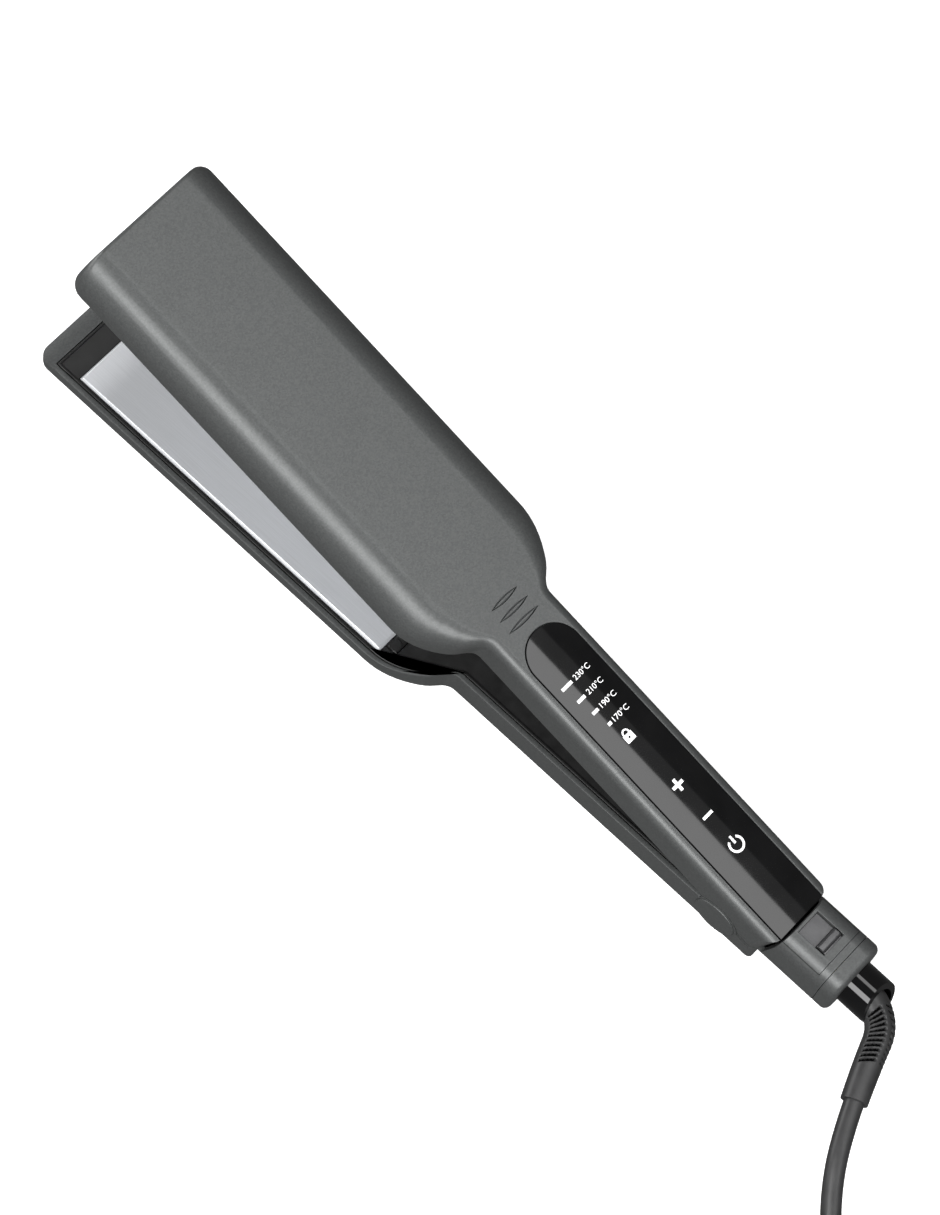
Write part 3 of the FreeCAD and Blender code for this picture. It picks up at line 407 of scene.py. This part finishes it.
def make_relief():
    """A bend guard with four columns of leaning slots between plain spines."""
    places, headings = even_line(line_of(RELIEF_ROUTE), STATIONS)
    shell = bmesh.new()
    rings, cuts = [], []
    for step, (place, heading) in enumerate(zip(places, headings)):
        share = step / (STATIONS - 1)
        radius = RELIEF_FIRST + (RELIEF_LAST - RELIEF_FIRST) * share
        spine = (SPINE - heading * SPINE.dot(heading)).normalized()
        across = heading.cross(spine)
        turns = [FULL * (corner / AROUND - 0.5) for corner in range(AROUND)]
        cuts.append([slot_depth(share, turn) for turn in turns])
        rings.append([shell.verts.new(place + (spine * math.cos(turn) + across * math.sin(turn))
                                      * (radius - SLOT_DEPTH * cut) * MM)
                      for turn, cut in zip(turns, cuts[-1])])
    for step in range(STATIONS - 1):
        ring, following = rings[step], rings[step + 1]
        for corner in range(AROUND):
            after = (corner + 1) % AROUND
            face = shell.faces.new((ring[corner], ring[after], following[after], following[corner]))
            # Faces cut deeper than half the slot depth take the second material, which is painted shade.
            face.material_index = int(cuts[step][corner] > 0.5)
    shell.faces.new(reversed(rings[0]))
    shell.faces.new(rings[-1])
    return finish_mesh(shell, "bend_guard", smooth=math.radians(40))


def finish_mesh(shell, name, smooth=None):
    """Turns worked geometry into a piece, smooth except at edges sharper than the given angle."""
    bmesh.ops.recalc_face_normals(shell, faces=shell.faces)
    if smooth is not None:
        for face in shell.faces:
            face.smooth = True
        for edge in shell.edges:
            edge.smooth = len(edge.link_faces) == 2 and edge.calc_face_angle(0) < smooth
    mesh = bpy.data.meshes.new(name)
    shell.to_mesh(mesh)
    shell.free()
    piece = bpy.data.objects.new(name, mesh)
    scene.collection.objects.link(piece)
    return piece


relief = make_relief()
relief.data.materials.append(FINISHES["rubber"])
# The second material is painted shade: near-black and without any reflection, for the slots' deep faces.
relief.data.materials.append(moulded("painted_slot_shade", (0.002, 0.002, 0.002), 0.7, Specular_IOR_Level=0.0))
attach(relief, "swivel")
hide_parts("strain_relief")
cord, cord_length = make_cord()
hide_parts("cord", "cord_coil", "cord_tail")
print("cord length", cord_length)

# ---------------------------------------------------------------- softened edges

PART_GAP, LINER_FACE, PLATE_FACE = 0.3, 0.5, 0.2      # these flat faces' heights over the meeting plane
REAR_HIGH = -13.6
CROSS_CUTS = (14, 99.6, 124, 240)      # long flat faces are divided here, which keeps them simple
SHARP = math.radians(35)               # an edge that turns more than this may be rounded
FLAT = math.radians(0.5)               # faces that turn less than this are joined
UNDER = Matrix.Rotation(math.pi, 4, "X")


def near(value, plane):
    return abs(value - plane) < 0.06


def softened(name, body, arm, *rounds, smooth=SHARP):
    """A CAD piece again, with the sharp edges that each test wants rounded by so many millimetres."""
    shell = bmesh.new()
    shell.from_mesh(nodes[name].data)
    bmesh.ops.remove_doubles(shell, verts=shell.verts, dist=1e-6)
    bmesh.ops.dissolve_limit(shell, angle_limit=FLAT, verts=shell.verts, edges=shell.edges)
    along = (arm.to_3x3() @ Vector((1, 0, 0))).normalized()
    for x in CROSS_CUTS:
        bmesh.ops.bisect_plane(shell, geom=[*shell.verts, *shell.edges, *shell.faces], dist=1e-6,
                               plane_co=arm @ Vector((x, 0, 0)), plane_no=along)
    to_arm = arm.inverted()
    for width, wanted in rounds:
        edges = [edge for edge in shell.edges if len(edge.link_faces) == 2
                 and edge.calc_face_angle(0) > SHARP
                 and all(wanted(to_arm @ vertex.co) for vertex in edge.verts)]
        bmesh.ops.bevel(shell, geom=edges, offset=width * MM, offset_type="OFFSET", segments=2,
                        profile=0.5, affect="EDGES", clamp_overlap=False)
    piece = finish_mesh(shell, name + "_skin", smooth=smooth)
    normals = piece.modifiers.new("normals", "WEIGHTED_NORMAL")
    normals.keep_sharp = True
    dress(piece, slot_of[name], body)
    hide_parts(name)
    return piece


def anywhere(point):
    return True


def casing_rim(point):
    return near(point.z, PART_GAP)


def liner_rim(point):
    return near(point.z, LINER_FACE)


def plate_rim(point):
    return near(point.z, PLATE_FACE)


def casing_top(point):
    return near(point.z, HALF_HEIGHT) or near(point.x, REAR_HIGH)


softened("upper_casing", "upper_arm", HIGH, (0.4, casing_rim), (0.15, casing_top))
softened("lower_casing", "lower_arm", LOW @ UNDER, (0.5, casing_rim))
softened("control_panel", "upper_arm", HIGH, (0.2, lambda point: near(point.z, HALF_HEIGHT)),
         smooth=math.radians(15))
softened("tail_cover", "lower_arm", LOW, (0.12, anywhere))
softened("rear_collar", "lower_arm", LOW, (0.15, anywhere))
slider = softened("lock_slider", "lock", LOW, (0.2, anywhere))
# The slide lock and the track under it share one satin finish.
lock_satin = moulded("lock_satin", (0.07, 0.07, 0.072), 0.2, metallic=0.6, spread=0.03)
slider.data.materials[0] = lock_satin
nodes["lock_track"].material_slots[0].material = lock_satin
for side, arm in (("lower", LOW @ UNDER), ("upper", HIGH)):
    softened(side + "_liner", side + "_arm", arm, (0.35, liner_rim))
    softened(side + "_plate", side + "_arm", arm, (0.3, plate_rim))
    softened(side + "_end_bar", side + "_arm", arm, (0.25, anywhere))

# ---------------------------------------------------------------- touch panel marks

MARK_LIFT = 0.02          # the print stands this far above the panel
MARK_THICK = 0.03


def on_panel(piece, x, y, turn=0.0):
    """Lays a flat piece, drawn in millimetres, on the touch panel."""
    piece.matrix_world = (HIGH @ Matrix.Translation((x, y, HALF_HEIGHT + MARK_LIFT))
                          @ Matrix.Rotation(turn, 4, "Z"))
    piece.data.materials.clear()
    piece.data.materials.append(INK)
    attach(piece, "upper_arm")


def flat_mark(name, outlines, x, y, turn=0.0):
    """A flat mark from closed outlines; an outline inside another is a hole."""
    data = bpy.data.curves.new(name, "CURVE")
    data.dimensions = "2D"
    data.fill_mode = "BOTH"
    data.extrude = MARK_THICK
    for outline in outlines:
        spline = data.splines.new("POLY")
        spline.points.add(len(outline) - 1)
        for control, (across, up) in zip(spline.points, outline):
            control.co = (across, up, 0, 1)
        spline.use_cyclic_u = True
    mark = bpy.data.objects.new(name, data)
    scene.collection.objects.link(mark)
    on_panel(mark, x, y, turn)
    return mark


def box_outline(x0, x1, y0, y1):
    return [(x0, y0), (x1, y0), (x1, y1), (x0, y1)]


def arc(radius, start, end, middle=(0, 0), steps=24):
    return [(middle[0] + radius * math.cos(start + (end - start) * step / steps),
             middle[1] + radius * math.sin(start + (end - start) * step / steps))
            for step in range(steps + 1)]


def band(radius, thick, start, end, middle=(0, 0)):
    return arc(radius + thick / 2, start, end, middle) + arc(radius - thick / 2, end, start, middle)


def scale_mark(x, y_low, y_high, thick=1.0):
    return flat_mark(f"scale_bar_{x:.0f}", [box_outline(-thick / 2, thick / 2, y_low, y_high)], x, 0)


def number_mark(text, x, y, tall=1.75, wide=6.0):
    """A temperature, read from the cord's end of the panel towards its side."""
    data = bpy.data.curves.new("number", "FONT")
    data.body = text
    data.align_x, data.align_y = "CENTER", "CENTER"
    data.extrude = MARK_THICK
    mark = bpy.data.objects.new("scale_number_" + text.removesuffix("°C"), data)
    scene.collection.objects.link(mark)
    bpy.context.view_layer.update()
    fit = Matrix.Diagonal((wide / mark.dimensions.x, tall / mark.dimensions.y, 1, 1))
    on_panel(mark, x, y, -QUARTER)
    mark.matrix_world = mark.matrix_world @ fit
    return mark


for bar_x, low, high, degrees in ((78.8, 2.1, 6.1, 230), (73.4, 2.1, 5.1, 210), (68.2, 1.9, 4.2, 190),
                                  (63.0, 1.7, 3.0, 170)):
    scale_mark(bar_x, low, high)
    number_mark(f"{degrees}°C", bar_x, -2.0)

PLUS = [(-0.5, -2), (0.5, -2), (0.5, -0.5), (2, -0.5), (2, 0.5), (0.5, 0.5), (0.5, 2), (-0.5, 2), (-0.5, 0.5),
        (-2, 0.5), (-2, -0.5), (-0.5, -0.5)]
flat_mark("plus_mark", [PLUS], 37.5, 0)
flat_mark("minus_mark", [box_outline(-0.45, 0.45, -1.85, 1.85)], 25.6, -0.4)
flat_mark("power_mark", [band(2.2, 0.7, math.radians(38), math.radians(322)),
                         box_outline(0.4, 2.9, -0.36, 0.36)], 14.2, -0.8)
SHACKLE = [(0.73, -1.25), *arc(1.25, -QUARTER, QUARTER, (1.0, 0)), (0.73, 1.25), (0.73, 0.75),
           *arc(0.75, QUARTER, -QUARTER, (1.0, 0)), (0.73, -0.75)]
flat_mark("padlock_mark", [box_outline(-1.8, 0.7, -1.6, 1.6), arc(0.35, 0, FULL, (-0.5, 0)), SHACKLE],
          57.0, 0.8)


# ---------------------------------------------------------------- studio

scene.view_settings.view_transform = "Standard"


def soft_box(name, middle, aim, wide, tall, radiance, along=(1, 0, 0)):
    """A rectangular light of an even brightness, with its width along the given direction."""
    data = bpy.data.lights.new(name, "AREA")
    data.shape = "RECTANGLE"
    data.size = wide
    data.size_y = tall
    data.energy = radiance * math.pi * wide * tall
    toward = (Vector(middle) - Vector(aim)).normalized()
    across = (Vector(along) - toward * toward.dot(Vector(along))).normalized()
    light = bpy.data.objects.new(name, data)
    light.matrix_world = (Matrix.Translation(Vector(middle))
                          @ Matrix((across, toward.cross(across), toward)).transposed().to_4x4())
    light.visible_camera = False
    scene.collection.objects.link(light)
    return light


BOX_REACH = 1.1                # how far the lights stand from the handle
BOX_LONG = 1.8
PANEL_MIDDLE = 45              # where the panel's two lights are lined up along it
PANEL_EDGE, DIM_EDGE = 2.6, -2.2      # the panel mirrors each of them up to this line across it


def mirrored(x, y, distance):
    """The place that the camera sees mirrored in the touch panel at a point, so far from it."""
    point = HIGH @ Vector((x, y, HALF_HEIGHT))
    normal = (HIGH.to_3x3() @ Vector((0, 0, 1))).normalized()
    ray = (point - camera.matrix_world.translation).normalized()
    return point + (ray - 2 * ray.dot(normal) * normal) * distance


def panel_box(name, y, reach, tall, radiance):
    """A light over the panel, which mirrors it from the line at y towards +Y."""
    along = HIGH.to_3x3() @ Vector((1, 0, 0))
    down = (HIGH.to_3x3() @ Vector((0, 0, 1))).normalized()
    middle = mirrored(PANEL_MIDDLE, y, reach) + Vector((0, tall / 2, 0))
    soft_box(name, middle, middle - down, BOX_LONG, tall, radiance, along)


def strip_box(name, angle, spread, radiance):
    """A long light in line with the iron, so many degrees from overhead towards +Y."""
    lean = math.radians(angle)
    aim = at(60, 0, 0)
    middle = aim + Vector((-0.25, math.sin(lean), math.cos(lean))) * BOX_REACH
    soft_box(name, middle, aim, BOX_LONG, 2 * BOX_REACH * math.tan(math.radians(spread / 2)), radiance)


def make_floor():
    bpy.ops.mesh.primitive_grid_add(x_subdivisions=2, y_subdivisions=2, size=8)
    floor = bpy.context.object
    floor.name = "floor"
    floor.data.materials.append(moulded("floor_paint", (0.93, 0.93, 0.93), 0.85, grain=20.0, height=0.01,
                                        Emission_Color=(1, 1, 1, 1), Emission_Strength=0.6))
    floor.visible_diffuse = False
    floor.visible_glossy = False


def make_world():
    world = bpy.data.worlds.new("studio")
    scene.world = world
    world.use_nodes = True
    background = world.node_tree.nodes["Background"]
    background.inputs["Color"].default_value = (1, 1, 1, 1)
    background.inputs["Strength"].default_value = 0.14


def make_lights():
    panel_box("panel_box", PANEL_EDGE, BOX_REACH, 0.3, 3.6)
    panel_box("dim_box", DIM_EDGE, BOX_REACH + 0.02, 0.25, 0.3)
    strip_box("shoulder_box", 44, 26, 8.0)
    tip = at(235, 5, 0)
    soft_box("tip_box", tip + Vector((0.9, 0.25, 0.33)) * 0.8, tip, 0.8, 0.4, 4.5, (0, 1, 0))


make_floor()
make_world()
make_lights()
